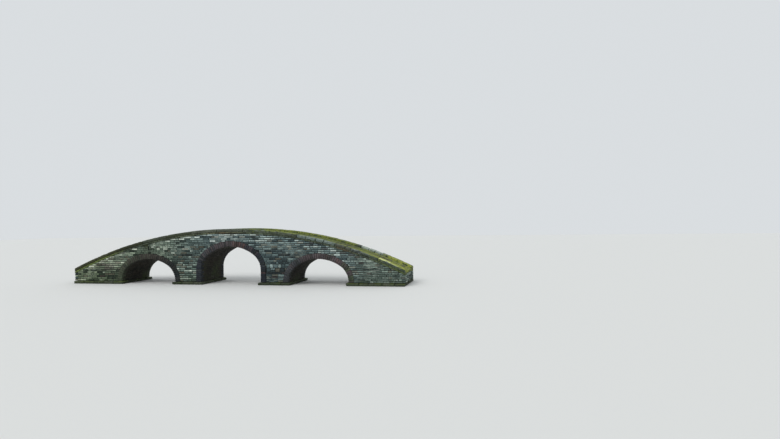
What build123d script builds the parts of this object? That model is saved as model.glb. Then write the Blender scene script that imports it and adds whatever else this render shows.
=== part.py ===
from build123d import *
import os
from collections import namedtuple
from math import asin, atan2, cos, degrees, radians, sin, sqrt

# Humped three-arch masonry footbridge, in millimetres.
# X runs along the bridge, Y across it and Z up from the level where its feet meet the water.
# The bridge is the same on both sides of its middle and on both faces.

# Overall form
bridge_length = 12400
bridge_width = 1700
crown_height = 1965
bank_height = 558

# Walls and footings
wall_thickness = 330
end_wall_thickness = 330
footing_height = 100
footing_projection = 90
footing_weathering = 30

# Arch barrels
arch_spacing = 3195
ring_thickness = 190
ring_projection = 15
centre_half_span = 1120
centre_leg = 430
centre_rise = 810
centre_haunch_radius = 650
side_half_span = 1065
side_leg = 25
side_rise = 780
side_haunch_radius = 660

# Courses that follow the camber, from the top of the coping down
coping_thickness = 110
coping_overhang = 45
coping_edge = 14
coping_joint = 8
coping_stones = 13
string_height = 55
string_projection = 20
kerb_height = 60
paving_thickness = 75

half_length = bridge_length / 2
half_width = bridge_width / 2
inner_half_width = half_width - wall_thickness
wall_top_depth = coping_thickness + string_height
paving_top_depth = kerb_height
paving_bottom_depth = kerb_height + paving_thickness
camber_rise = crown_height - bank_height
camber_radius = (half_length**2 + camber_rise**2) / (2 * camber_rise)
camber_centre_height = crown_height - camber_radius

Arch = namedtuple("Arch", "centre half_span springing rise haunch_radius")


def make_arch(centre, half_span, leg, rise, haunch_radius):
    """One arch, whose legs stand on the footings."""
    return Arch(centre, half_span, footing_height + leg, rise, haunch_radius)


centre_arch = make_arch(0, centre_half_span, centre_leg, centre_rise, centre_haunch_radius)
left_arch = make_arch(-arch_spacing, side_half_span, side_leg, side_rise, side_haunch_radius)
right_arch = make_arch(arch_spacing, side_half_span, side_leg, side_rise, side_haunch_radius)
arches = {"left": left_arch, "centre": centre_arch, "right": right_arch}


def at_distance(depth, x):
    """Point on the camber, this far below the coping's top and this far along the bridge."""
    return (x, camber_centre_height + sqrt((camber_radius - depth) ** 2 - x**2))


def at_angle(depth, angle):
    """Point on the camber, this far below the coping's top and this many degrees from the crown."""
    radius = camber_radius - depth
    return (radius * sin(radians(angle)), camber_centre_height + radius * cos(radians(angle)))


def middle_of(depth, start, end):
    """Point on the camber half way between two others at the same depth."""
    angle_start = degrees(asin(start[0] / (camber_radius - depth)))
    angle_end = degrees(asin(end[0] / (camber_radius - depth)))
    return at_angle(depth, (angle_start + angle_end) / 2)


def draw_arch(arch, growth=0, mode=Mode.ADD):
    """Area under a three-centred arch, whose haunch and crown arcs meet without a kink."""
    reach = arch.half_span - arch.haunch_radius
    crown_radius = (reach**2 + arch.rise**2 - arch.haunch_radius**2) / (2 * (arch.rise - arch.haunch_radius))
    haunch_turn = degrees(atan2(crown_radius - arch.rise, reach))
    edge = arch.half_span + growth
    right_foot = (arch.centre + edge, footing_height)
    left_foot = (arch.centre - edge, footing_height)
    with BuildLine() as outline:
        Line(right_foot, (arch.centre + edge, arch.springing))
        CenterArc((arch.centre + reach, arch.springing), arch.haunch_radius + growth, 0, haunch_turn)
        CenterArc(
            (arch.centre, arch.springing + arch.rise - crown_radius),
            crown_radius + growth,
            haunch_turn,
            180 - 2 * haunch_turn,
        )
        CenterArc(
            (arch.centre - reach, arch.springing), arch.haunch_radius + growth, 180 - haunch_turn, haunch_turn
        )
        Line((arch.centre - edge, arch.springing), left_foot)
        Line(left_foot, right_foot)
    make_face(outline.edges(), mode=mode)


def draw_course(top_depth, bottom_depth, start_top, start_bottom, end_top, end_bottom):
    """Area between two arcs of the camber, with given ends."""
    with BuildLine() as outline:
        ThreePointArc(start_top, middle_of(top_depth, start_top, end_top), end_top)
        Line(end_top, end_bottom)
        ThreePointArc(end_bottom, middle_of(bottom_depth, start_bottom, end_bottom), start_bottom)
        Line(start_bottom, start_top)
    make_face(outline.edges())


def draw_full_course(top_depth, bottom_depth):
    """A course that runs from one end of the bridge to the other."""
    draw_course(
        top_depth,
        bottom_depth,
        at_distance(top_depth, -half_length),
        at_distance(bottom_depth, -half_length),
        at_distance(top_depth, half_length),
        at_distance(bottom_depth, half_length),
    )


def draw_masonry(start, end, top_depth):
    """Area from the footings up to the camber between two distances along the bridge, less the arches."""
    start_top = at_distance(top_depth, start)
    end_top = at_distance(top_depth, end)
    with BuildLine() as outline:
        ThreePointArc(start_top, middle_of(top_depth, start_top, end_top), end_top)
        Polyline(end_top, (end, footing_height), (start, footing_height), start_top)
    make_face(outline.edges())
    for arch in arches.values():
        draw_arch(arch, growth=ring_thickness, mode=Mode.SUBTRACT)


def save(piece, name):
    """Label a finished piece and write it to its own file."""
    piece.part.label = name
    export_step(piece.part, f"parts/{name}.step")


def make_barrel(name, arch):
    """Brick barrel of one arch: its ring shows proud on both faces, its soffit runs the full width."""
    with BuildPart() as barrel:
        with BuildSketch(Plane.XZ):
            draw_arch(arch, growth=ring_thickness)
            draw_arch(arch, mode=Mode.SUBTRACT)
        extrude(amount=half_width + ring_projection, both=True)
    save(barrel, f"{name}_arch_barrel")


def make_footing(name, start, end):
    """Low stone plinth under a pier or an abutment, its free top edges weathered off."""
    with BuildPart() as footing:
        with BuildSketch(Plane.XY):
            with Locations(((start + end) / 2, 0)):
                Rectangle(abs(end - start), bridge_width + 2 * footing_projection)
        extrude(amount=footing_height)
        top_edges = footing.faces().sort_by(Axis.Z)[-1].edges()
        free_edges = top_edges.filter_by(lambda edge: abs(edge.center().X) < half_length - footing_weathering)
        chamfer(free_edges, length=footing_weathering)
    save(footing, f"{name}_footing")


def make_pier_wall(face, side):
    """Spandrel wall over one pier, from the crown of the centre arch to the crown of a side arch."""
    outward = {"front": 1, "back": -1}[face]
    start, end = {"left": (-arch_spacing, 0), "right": (0, arch_spacing)}[side]
    with BuildPart() as wall:
        with BuildSketch(Plane.XZ.offset(outward * inner_half_width)):
            draw_masonry(start, end, wall_top_depth)
        extrude(amount=outward * wall_thickness)
    save(wall, f"{face}_{side}_pier_wall")


def make_abutment(side):
    """Two spandrel walls bonded at the bank to an end wall, which rises between them to carry the paving."""
    direction = {"left": -1, "right": 1}[side]
    start, end = sorted((direction * arch_spacing, direction * half_length))
    fill_start = direction * arch_spacing
    fill_end = direction * (half_length - end_wall_thickness)
    end_wall_start, end_wall_end = sorted((fill_end, direction * half_length))
    with BuildPart() as abutment:
        with BuildSketch(Plane.XZ):
            draw_masonry(start, end, wall_top_depth)
        extrude(amount=half_width, both=True)
        with BuildSketch(Plane.XY):
            with Locations(((fill_start + fill_end) / 2, 0)):
                Rectangle(abs(fill_end - fill_start), 2 * inner_half_width)
        extrude(amount=crown_height, mode=Mode.SUBTRACT)
        with BuildSketch(Plane.XZ):
            draw_masonry(end_wall_start, end_wall_end, paving_bottom_depth)
        extrude(amount=inner_half_width, both=True)
    save(abutment, f"{side}_abutment_walls")


def make_core():
    """Rubble fill between the walls, over the barrels and under the paving."""
    with BuildPart() as core:
        with BuildSketch(Plane.XZ):
            draw_masonry(
                end_wall_thickness - half_length, half_length - end_wall_thickness, paving_bottom_depth
            )
        extrude(amount=inner_half_width, both=True)
    save(core, "rubble_core")


def make_string_course(face):
    """Thin brick course on top of a wall, which steps out under the coping."""
    outward = {"front": 1, "back": -1}[face]
    with BuildPart() as course:
        with BuildSketch(Plane.XZ.offset(outward * inner_half_width)):
            draw_full_course(coping_thickness, wall_top_depth)
        extrude(amount=outward * (wall_thickness + string_projection))
    save(course, f"{face}_string_course")


def coping_end(joint, depth, shift):
    """Point on one side of a coping joint: radial between stones, upright at the ends of the bridge."""
    end_angle = degrees(asin(half_length / camber_radius))
    half_joint = degrees(coping_joint / 2 / camber_radius)
    if joint == 0:
        return at_distance(depth, -half_length)
    if joint == coping_stones:
        return at_distance(depth, half_length)
    return at_angle(depth, end_angle * (2 * joint / coping_stones - 1) + shift * half_joint)


def make_coping_stone(face, number):
    """One coping stone: it follows the camber, overhangs the wall and stands as a kerb over the paving."""
    outward = {"front": 1, "back": -1}[face]
    with BuildPart() as stone:
        with BuildSketch(Plane.XZ.offset(outward * inner_half_width)):
            draw_course(
                0,
                coping_thickness,
                coping_end(number, 0, 1),
                coping_end(number, coping_thickness, 1),
                coping_end(number + 1, 0, -1),
                coping_end(number + 1, coping_thickness, -1),
            )
        extrude(amount=outward * (wall_thickness + coping_overhang))
        top_face = stone.faces().filter_by(GeomType.CYLINDER).sort_by(Axis.Z)[-1]
        chamfer(top_face.edges().filter_by(GeomType.CIRCLE), length=coping_edge)
    save(stone, f"{face}_coping_stone_{number + 1:02d}")


def make_paving():
    """Walking surface between the two rows of coping, a little lower than they are."""
    with BuildPart() as paving:
        with BuildSketch(Plane.XZ):
            draw_full_course(paving_top_depth, paving_bottom_depth)
        extrude(amount=inner_half_width, both=True)
    save(paving, "deck_paving")


os.makedirs("parts", exist_ok=True)

for arch_name, arch_form in arches.items():
    make_barrel(arch_name, arch_form)

pier_start = centre_half_span - footing_projection
pier_end = arch_spacing - side_half_span + footing_projection
abutment_start = arch_spacing + side_half_span - footing_projection
make_footing("left_abutment", -half_length, -abutment_start)
make_footing("left_pier", -pier_end, -pier_start)
make_footing("right_pier", pier_start, pier_end)
make_footing("right_abutment", abutment_start, half_length)

for face_name in ("front", "back"):
    for side_name in ("left", "right"):
        make_pier_wall(face_name, side_name)
    make_string_course(face_name)
    for stone_number in range(coping_stones):
        make_coping_stone(face_name, stone_number)

for side_name in ("left", "right"):
    make_abutment(side_name)

make_core()
make_paving()
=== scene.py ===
"""Weathered brick and stone for a humped three-arch footbridge, in metres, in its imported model's frame.

X runs along the bridge, Y across it to the back and Z up from its feet. Each node but the rubble core is
replaced by worn blocks, each in its own colour, whose faces lie where the node's faces are, with recessed
mortar or earth between them.
"""

from functools import partial
from itertools import product
from math import asin, atan2, ceil, copysign, cos, dist, exp, hypot, pi, prod, radians, sin, sqrt
from random import Random

import bpy
import numpy as np
from mathutils import Matrix, Vector
from mathutils.noise import noise


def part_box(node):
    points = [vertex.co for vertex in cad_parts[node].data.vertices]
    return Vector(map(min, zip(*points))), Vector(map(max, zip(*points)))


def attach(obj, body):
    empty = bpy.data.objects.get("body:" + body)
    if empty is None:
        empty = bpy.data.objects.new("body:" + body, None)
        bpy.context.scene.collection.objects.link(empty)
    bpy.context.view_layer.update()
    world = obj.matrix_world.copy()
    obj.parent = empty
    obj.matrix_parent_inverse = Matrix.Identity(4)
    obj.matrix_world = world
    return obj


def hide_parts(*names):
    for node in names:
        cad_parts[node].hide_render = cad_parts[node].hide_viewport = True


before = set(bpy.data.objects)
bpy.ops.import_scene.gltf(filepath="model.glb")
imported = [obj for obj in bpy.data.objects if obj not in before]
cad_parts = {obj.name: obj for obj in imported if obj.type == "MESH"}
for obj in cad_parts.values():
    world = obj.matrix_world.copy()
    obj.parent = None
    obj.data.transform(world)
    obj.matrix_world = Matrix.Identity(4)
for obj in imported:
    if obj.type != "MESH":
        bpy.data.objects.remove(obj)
scene = bpy.context.scene
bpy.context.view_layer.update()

# Sizes read from the frame
half_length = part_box("deck_paving")[1].x
half_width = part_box("left_abutment_walls")[1].y
inner_half_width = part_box("deck_paving")[1].y
coping_half_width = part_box("back_coping_stone_07")[1].y
string_half_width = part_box("back_string_course")[1].y
ring_half_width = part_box("centre_arch_barrel")[1].y
footing_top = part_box("left_pier_footing")[1].z
crown_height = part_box("front_coping_stone_07")[1].z
kerb_height = crown_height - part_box("deck_paving")[1].z
wall_top_depth = crown_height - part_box("front_left_pier_wall")[1].z

# Sizes that the boxes of the nodes do not show
ring_thickness = 0.19
coping_thickness = 0.11
paving_thickness = 0.075
paving_foot_depth = kerb_height + paving_thickness
coping_stones = 13
centre_leg = 0.43
centre_haunch_radius = 0.65
side_leg = 0.025
side_haunch_radius = 0.66

# The camber is an arc through the coping's crown, and the foot of the string course lies on it at the ends
wall_end_drop = crown_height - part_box("front_string_course")[0].z
end_reach_squared = half_length**2 + wall_end_drop**2
camber_radius = (end_reach_squared - wall_top_depth**2) / (2 * (wall_end_drop - wall_top_depth))
camber_centre = crown_height - camber_radius
end_arc = camber_radius * asin(half_length / camber_radius)
upright_reach = 0.9

# Brickwork
course_height = 0.07
bed_joint = 0.021
head_joint = 0.012
cut_joint = 0.008
ring_joint = 0.007
rubble_joint = 0.016
backing_recess = 0.034
washed_recess = 0.024
pointed_recess = 0.005
soffit_recess = 0.008
brick_depth = 0.037
string_depth = 0.08
stretcher = 0.225
header = 0.1125
three_quarter = 0.165
brick_shares = {stretcher: 0.62, header: 0.2, three_quarter: 0.18}
shortest_bat = 0.085
shortest_run = 0.03
smallest_face = 0.0011
voussoir_pitch = 0.073
brick_wear = (0.004, 0.008)
ring_wear = 0.006
rubble_wear = 0.016
point_spacing = 0.05
shortest_edge = 0.004
edge_waver = 0.004
block_tilt = (0.016, 0.03)
brick_bow = 0.004
sunk_bow = 0.006
rubble_bow = 0.009
rubble_lean = 0.012
rubble_length = (0.09, 0.19)
corner_bite = (0.008, 0.022)
broken_share = 0.22
sunk_share = 0.12
sunk_depth = (0.003, 0.009)
ring_sunk = (0.0, 0.0, 0.002, 0.004)
soffit_sunk = (0.0, 0.001, 0.003)
string_sunk = (0.0, 0.0, 0.002, 0.006)
mortar_roughness = 0.006
# How much each block darkens towards its lower edge and lightens towards its top: painted shade, partly dirt
edge_shade_and_grime = 0.3

# Stones
coping_gap = 0.009
coping_cut = 0.045
coping_unevenness = 0.008
broken_coping_share = 0.2
joint_half = 0.012
joint_recess = (0.016, 0.013)
end_stone_length = 0.2
end_stone_width = (0.24, 0.38)
end_stone_gap = 0.004
end_stone_sunk = (0.002, 0.007)
narrowest_end_stone = 0.196
sett_row = 0.15
sett_width = (0.15, 0.29)
sett_gap_along = (0.003, 0.008)
sett_gap_across = (0.004, 0.008)
sett_half_depth = 0.02
sett_sunk = 0.007
narrowest_sett = 0.096
kerb_gap = 0.004
paving_recess = 0.03
earth_depth = 0.017
earth_spacing = 0.035
earth_rows = 26
footing_stone_length = 0.42
footing_stone_sway = (0.07, 0.06)
footing_gap = 0.003
footing_sunk = 0.006

# How rounded the edges of each kind of stone are, how uneven its surface is and how chipped its arrises are
STONE_WEAR = {
    "coping": (0.015, 0.006, 0.014),
    "broken coping": (0.015, 0.006, 0.022),
    "joint": (0.006, 0.006, 0.0),
    "end": (0.014, 0.005, 0.01),
    "sett": (0.011, 0.004, 0.008),
    "footing": (0.022, 0.009, 0.014),
}

# Stage
floor_reach = 60
sky_strength = 0.75
sun_energy = 1.3
sun_softness = radians(40)
sun_turns = (radians(48), 0, radians(-24))

# Camera, found by fitting the arches, the coping and the feet of the bridge in the photograph
eye_height = 2.218
eye_along = 9.583
eye_before_face = 19.507
camera_turn = radians(11.23)
camera_roll = radians(-0.71)
focal_pixels = 600
picture_width = 780
sensor_width = 36


def linear(*display):
    """Scene colour of an 8-bit display colour."""
    return tuple(((c / 255 + 0.055) / 1.055) ** 2.4 for c in display)


def tones(*colours):
    return [linear(*colour) for colour in colours]


def mixed(first, second, share):
    """Colour or point between two others."""
    return tuple(a + (b - a) * share for a, b in zip(first, second))


def ramped(colours, share):
    """Colour at a share of the way through a list of colours."""
    place = clamp(share, 0.0, 0.9999) * (len(colours) - 1)
    return mixed(colours[int(place)], colours[int(place) + 1], place % 1)


def clamp(value, low, high):
    return max(low, min(high, value))


def smooth(value, low, high):
    """Share of the way between two values, eased at both ends."""
    share = clamp((value - low) / (high - low), 0.0, 1.0)
    return share * share * (3 - 2 * share)


def hump(value, place, reach, power=2):
    """One at a place, and less and less away from it."""
    return exp(-(((value - place) / reach) ** power))


BLUE_TONES = tones((38, 47, 49), (65, 81, 83), (101, 119, 119), (140, 157, 154), (187, 200, 194))
GREEN_TONES = tones((38, 51, 36), (73, 86, 65), (110, 123, 98), (150, 162, 134), (195, 201, 176))
WASHED_OUT = linear(37, 42, 39)
POINTING = linear(136, 144, 134)
BROWN_GREY = linear(104, 98, 82)
PINK_GREY = linear(128, 118, 112)
BRICK_RED = linear(88, 66, 62)
RING_BROWN = linear(58, 55, 50)
RING_PURPLE = linear(75, 68, 69)
RING_GREY = linear(57, 59, 62)
RING_BLUE = linear(36, 41, 48)
RING_DARK = linear(27, 34, 36)
RING_OLIVE = linear(66, 74, 58)
RING_TONES = {
    "left": [RING_OLIVE, RING_BROWN, RING_DARK],
    "centre": [RING_BLUE, RING_GREY, RING_PURPLE, RING_BLUE, RING_BLUE],
    "right": [RING_GREY, RING_GREY, RING_PURPLE, RING_PURPLE, RING_PURPLE, RING_OLIVE],
}
# Soffit bricks, darker than the rings: partly damp, partly painted shade under the arches
SOFFIT_DAMP_AND_SHADE_TONES = tones((36, 38, 32), (50, 46, 38), (60, 56, 48))
STRING_OLIVE = linear(80, 89, 70)
STRING_ORANGE = linear(108, 90, 66)
COPING_OLIVE = linear(56, 63, 36)
COPING_BROWN = linear(72, 70, 50)
COPING_GREY = linear(80, 88, 78)
COPING_BEIGE = linear(90, 92, 76)
COPING_PALE = linear(110, 125, 120)
COPING_LIGHT = linear(166, 177, 165)
COPING_DARK = linear(62, 70, 68)
DECK_TONES = tones((62, 66, 50), (84, 84, 66), (98, 100, 84))
FOOTING_TONES = tones((50, 56, 42), (76, 80, 64), (92, 96, 82))
EARTH = linear(58, 60, 38)
LIME_BLOOM = linear(178, 188, 180)
LICHEN_GREY = linear(150, 158, 138)
# A bright moss crust as it looks in sunlight: a painted highlight
SUNLIT_CRUST_HIGHLIGHT = linear(230, 236, 162)
ALGAE = linear(56, 70, 40)
MOSS_OLIVE = linear(86, 102, 48)
MOSS_GREEN = linear(112, 126, 56)
MOSS_YELLOW = linear(190, 194, 84)
MOSS_DARK = linear(58, 70, 32)
MOSS_DRY = linear(112, 106, 70)
DAMP = linear(34, 40, 36)
WET_GREEN = linear(38, 48, 30)

# Patches of rough stones in the front: along, up and how far they reach each way
RUBBLE_PLACES = [(-2.79, 1.33, 0.33, 0.20), (1.66, 0.62, 0.30, 0.17)]

# Places on the front that look unlike the rest: along, up, how far they reach each way, and how strongly
PALE_PLACES = [
    (-2.80, 1.36, 0.45, 0.25, 0.30),
    (-4.70, 0.85, 0.80, 0.30, 0.24),
    (-0.10, 1.66, 1.20, 0.16, 0.26),
    (1.17, 1.48, 0.10, 0.30, 0.40),
    (1.66, 0.62, 0.30, 0.14, 0.12),
    (3.15, 1.20, 0.70, 0.16, 0.32),
    (4.80, 0.70, 0.60, 0.25, 0.06),
]
DARK_PLACES = [
    (1.75, 1.02, 0.34, 0.26, 0.20),
    (1.66, 0.45, 0.40, 0.10, 0.30),
    (-2.20, 0.95, 0.35, 0.30, 0.14),
    (0.80, 1.64, 0.18, 0.09, 0.40),
    (-3.27, 1.37, 0.13, 0.14, 0.30),
    (-3.60, 1.20, 0.40, 0.12, 0.22),
    (-4.90, 0.28, 0.60, 0.20, 0.20),
    (1.58, 1.40, 0.05, 0.35, 0.20),
]
OLIVE_PLACES = [(-3.27, 1.38, 0.16, 0.16, 0.9), (4.05, 1.24, 0.30, 0.10, 0.7)]
PINK_PLACES = [(-4.80, 0.65, 0.40, 0.16, 0.7)]
POINTED_PLACES = [(2.27, 1.10, 0.36, 0.20, 0.8), (1.70, 1.30, 0.50, 0.16, 0.3), (5.00, 0.65, 0.60, 0.30, 0.4)]

# Stretches of the front's string course that are darkened, partly damp and partly painted shade under the
# coping, and stretches that are orange: along, how far they reach, and how strongly
DAMP_AND_SHADED_STRING = [(-3.60, 0.50, 0.35), (2.00, 0.60, 0.40), (3.20, 0.60, 0.25)]
ORANGE_STRING = [(-0.6, 0.8, 0.6), (4.0, 0.3, 0.7)]

# Where the rings of the front are reddish: the share of the way round, and how far it reaches
RED_VOUSSOIRS = {"centre": (0.57, 0.08), "right": (0.73, 0.03)}

# Where the back's coping is pale, and where the front's coping has a bright crust, a painted sunlit
# highlight: along, how far they reach, and how sharply they end
PALE_BACK_COPING = (4.8, 0.6, 4)
COPING_SUNLIT_CRUST = (5.62, 0.30, 4)

# The moss at the left end of the front's coping, and where it changes: from, to and by how much
LEFT_COPING_MOSS = 0.22
COPING_MOSS_STEPS = [
    (-3.4, -2.6, -0.17),
    (-1.6, -0.8, -0.20),
    (-0.3, 0.5, 0.80),
    (1.3, 1.9, -0.15),
    (2.2, 2.8, -0.15),
    (4.8, 5.4, 0.40),
]

# Stretches of the front's coping: where each ends, its two colours, the least share of the second colour,
# how much that share varies, and the lime
COPING_STRETCHES = [
    (-3.0, COPING_OLIVE, COPING_BROWN, 0.0, 0.5, 0.05),
    (-1.2, COPING_OLIVE, COPING_GREY, 0.3, 0.6, 0.25),
    (0.4, COPING_BEIGE, COPING_GREY, 0.0, 1.0, 0.3),
    (2.45, COPING_GREY, COPING_BROWN, 0.0, 0.6, 0.5),
    (3.85, COPING_PALE, COPING_GREY, 0.0, 0.4, 0.7),
    (4.4, COPING_BROWN, COPING_GREY, 0.5, 0.0, 0.4),
    (end_arc, COPING_DARK, COPING_GREY, 0.0, 0.3, 0.8),
]

# Coping stones that have broken, by their row and their place in it, and where along each the breaks are
BROKEN_COPING = {("front", 9): [0.35, 0.7], ("front", 10): [0.42, 0.8], ("back", 11): [0.3, 0.55, 0.78]}


def strength_at(places, *point):
    """How strongly the places are felt at a point: each is a middle, a reach each way and a strength."""
    ways = len(point)
    near = [[hump(*way) for way in zip(point, place, place[ways:])] for place in places]
    return max(place[-1] * prod(humps) for place, humps in zip(places, near))


def shifted(point, direction, distance):
    """A point moved some way in a direction."""
    return (point[0] + direction[0] * distance, point[1] + direction[1] * distance)


class Arch:
    """A three-centred arch on upright legs, measured along its soffit from its left foot."""

    def __init__(self, node, leg, haunch_radius):
        low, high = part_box(node)
        self.centre = (low.x + high.x) / 2
        self.half_span = (high.x - low.x) / 2 - ring_thickness
        self.leg = leg
        self.springing = footing_top + leg
        self.rise = high.z - ring_thickness - self.springing
        self.haunch_radius = haunch_radius
        self.reach = self.half_span - haunch_radius
        squares = self.reach**2 + self.rise**2 - haunch_radius**2
        self.crown_radius = squares / (2 * (self.rise - haunch_radius))
        self.crown_centre = self.springing + self.rise - self.crown_radius
        self.turn = atan2(self.crown_radius - self.rise, self.reach)
        self.haunch = haunch_radius * self.turn
        self.length = 2 * leg + 2 * self.haunch + self.crown_radius * (pi - 2 * self.turn)

    def arc(self, on_haunch):
        """Centre and radius of the right haunch or of the crown, from the arch's middle."""
        if on_haunch:
            return (self.reach, self.springing), self.haunch_radius
        return (0.0, self.crown_centre), self.crown_radius

    def at(self, distance, growth=0.0):
        """Point on the soffit line, or that far outside it, and the outward direction there."""
        if distance > self.length / 2:
            (x, z), (across, up) = self.at(self.length - distance, growth)
            return (2 * self.centre - x, z), (-across, up)
        along = distance - self.leg
        if along < 0:
            return (self.centre - self.half_span - growth, footing_top + distance), (-1.0, 0.0)
        (across, up), radius = self.arc(along < self.haunch)
        angle = pi - self.turn - (along - self.haunch) / radius
        if along < self.haunch:
            angle = pi - along / radius
        outward = (cos(angle), sin(angle))
        return shifted((self.centre - across, up), outward, radius + growth), outward

    def beyond(self, x, z, growth=0.0):
        """How far a point lies outside the line, the nearest point of the line and the outward direction."""
        side = copysign(1.0, x - self.centre)
        across = abs(x - self.centre)
        if z <= self.springing:
            edge = self.half_span + growth
            return across - edge, (self.centre + side * edge, z), (side, 0.0)
        middle, radius = self.arc(atan2(z - self.springing, across - self.reach) <= self.turn)
        away = dist((across, z), middle)
        outward = (side * (across - middle[0]) / away, (z - middle[1]) / away)
        nearest = shifted((self.centre + side * middle[0], middle[1]), outward, radius + growth)
        return away - radius - growth, nearest, outward

    def half_width_at(self, z, growth=0.0):
        """Half the width of the line at a height, or nothing above its crown."""
        if z <= self.springing:
            return self.half_span + growth
        for on_haunch in (False, True):
            (middle, up), radius = self.arc(on_haunch)
            across = middle + sqrt(max(0.0, (radius + growth) ** 2 - (z - up) ** 2))
            if atan2(z - self.springing, across - self.reach) > self.turn:
                break
        return across


arches = {
    "left": Arch("left_arch_barrel", side_leg, side_haunch_radius),
    "centre": Arch("centre_arch_barrel", centre_leg, centre_haunch_radius),
    "right": Arch("right_arch_barrel", side_leg, side_haunch_radius),
}


def camber_height(depth, x):
    """Height of the camber, that far below the coping's top."""
    return camber_centre + sqrt((camber_radius - depth) ** 2 - x**2)


class Face:
    """A plane that masonry shows on: across and up lie in it, and out points away from the bridge."""

    def __init__(self, side, origin, across, out, up=(0, 0, 1)):
        self.side, self.across, self.out = side, across, out
        self.origin = np.array(origin, float)
        self.axes = np.array([across, up, out], float)

    def place(self, points):
        return self.origin + np.asarray(points, float) @ self.axes


FRONT, BACK, LEFT_END, RIGHT_END = range(4)
long_faces = {
    "front": Face(FRONT, (0, -half_width, 0), (1, 0, 0), (0, -1, 0)),
    "back": Face(BACK, (0, half_width, 0), (-1, 0, 0), (0, 1, 0)),
}
end_faces = {
    "left": Face(LEFT_END, (-half_length, 0, 0), (0, -1, 0), (-1, 0, 0)),
    "right": Face(RIGHT_END, (half_length, 0, 0), (0, 1, 0), (1, 0, 0)),
}


def new_object(name, data):
    made = bpy.data.objects.new(name, data)
    scene.collection.objects.link(made)
    return made


class Masonry:
    """Blocks and mortar that become one mesh. Each point has a colour and its moss, lime and yellow."""

    def __init__(self, node=None, move=None):
        """Start empty, or with a node's shape as mortar, each point moved by a function."""
        self.points, self.faces, self.slots, self.colours, self.growth = [], [], [], [], []
        self.count = 0
        if node:
            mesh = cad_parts[node].data
            places = {}
            index = [places.setdefault(tuple(round(c, 5) for c in v.co), len(places)) for v in mesh.vertices]
            faces = [tuple(index[i] for i in polygon.vertices) for polygon in mesh.polygons]
            self.add([move(Vector(key)) for key in places], [f for f in faces if len(set(f)) == len(f)], 0)

    def add(self, points, faces, slot, colour=WASHED_OUT, moss=0.0, lime=0.0, yellow=0.0):
        count = len(points)
        self.points.append(np.asarray(points, float))
        self.faces += [tuple(i + self.count for i in face) for face in faces]
        self.slots += [slot] * len(faces)
        self.colours.append(np.broadcast_to(np.asarray(colour, float), (count, 3)))
        self.growth.append(np.stack([np.broadcast_to(share, count) for share in (moss, lime, yellow)], 1))
        self.count += count

    def build(self, name, materials, record_slot, *nodes):
        """Make the piece, which stands for its nodes."""
        mesh = bpy.data.meshes.new(name)
        mesh.from_pydata(np.vstack(self.points).tolist(), [], self.faces)
        mesh.polygons.foreach_set("material_index", self.slots)
        mesh.polygons.foreach_set("use_smooth", [True] * len(self.faces))
        for attribute_name, values in (("block_colour", self.colours), ("block_growth", self.growth)):
            attribute = mesh.color_attributes.new(attribute_name, "FLOAT_COLOR", "POINT")
            colours = np.ones((self.count, 4), np.float32)
            colours[:, :3] = np.vstack(values)
            attribute.data.foreach_set("color", colours.ravel())
        for material in materials:
            mesh.materials.append(material)
        mesh.validate()
        mesh.set_sharp_from_angle(angle=radians(50))
        piece = new_object(name, mesh)
        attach(piece, "root")
        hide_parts(*nodes)


def recessed(limit_x, limit_y):
    """A function that keeps mortar behind the ends and the long faces."""
    x, y = limit_x - backing_recess, limit_y - backing_recess
    return lambda p: (clamp(p.x, -x, x), clamp(p.y, -y, y), p.z)


def oblong(left, right, low, high):
    return [(left, low), (right, low), (right, high), (left, high)]


def edges_of(polygon):
    return list(zip(polygon, polygon[1:] + polygon[:1]))


def area_of(polygon):
    return sum(ax * bz - bx * az for (ax, az), (bx, bz) in edges_of(polygon)) / 2


def middle_of(polygon):
    return tuple(sum(p[axis] for p in polygon) / len(polygon) for axis in (0, 1))


def clipped(polygon, point, inward):
    """The part of a convex polygon on one side of a line."""
    kept = []
    for a, b in edges_of(polygon):
        side_a, side_b = ((p[0] - point[0]) * inward[0] + (p[1] - point[1]) * inward[1] for p in (a, b))
        if side_a >= 0:
            kept.append(a)
        if side_a * side_b < 0:
            kept.append(mixed(a, b, side_a / (side_a - side_b)))
    return kept


def inset(polygon, gap_of):
    """A convex polygon with each edge moved inwards by its own gap."""
    shrunk = polygon
    for a, b in edges_of(polygon):
        run = dist(a, b)
        if run > 1e-6 and len(shrunk) > 2:
            inward = ((a[1] - b[1]) / run, (b[0] - a[0]) / run)
            shrunk = clipped(shrunk, shifted(a, inward, gap_of(a, b)), inward)
    return shrunk


def broken_corner(polygon, rng):
    """A convex polygon with one corner knocked off."""
    corner, middle = rng.choice(polygon), middle_of(polygon)
    angle = atan2(middle[1] - corner[1], middle[0] - corner[0]) + rng.uniform(-0.5, 0.5)
    inward = (cos(angle), sin(angle))
    return clipped(polygon, shifted(corner, inward, rng.uniform(*corner_bite)), inward)


def worn_outline(polygon, rng, corner, spacing):
    """Points round a convex polygon, with its corners worn off and its edges wavering."""
    outline = []
    for a, b in edges_of(polygon):
        run = dist(a, b)
        if run < shortest_edge:
            continue
        along = ((b[0] - a[0]) / run, (b[1] - a[1]) / run)
        worn = min(corner, run * 0.3)
        steps = max(1, round(run / spacing))
        stops = [worn * rng.uniform(0.5, 1.3)]
        stops += [run * step / steps for step in range(1, steps)]
        stops.append(run - worn * rng.uniform(0.5, 1.3))
        for place, stop in enumerate(stops):
            wander = 0.0 if place in (0, len(stops) - 1) else rng.uniform(0.0, edge_waver)
            outline.append(shifted(shifted(a, along, stop), (-along[1], along[0]), wander))
    return outline


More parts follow.
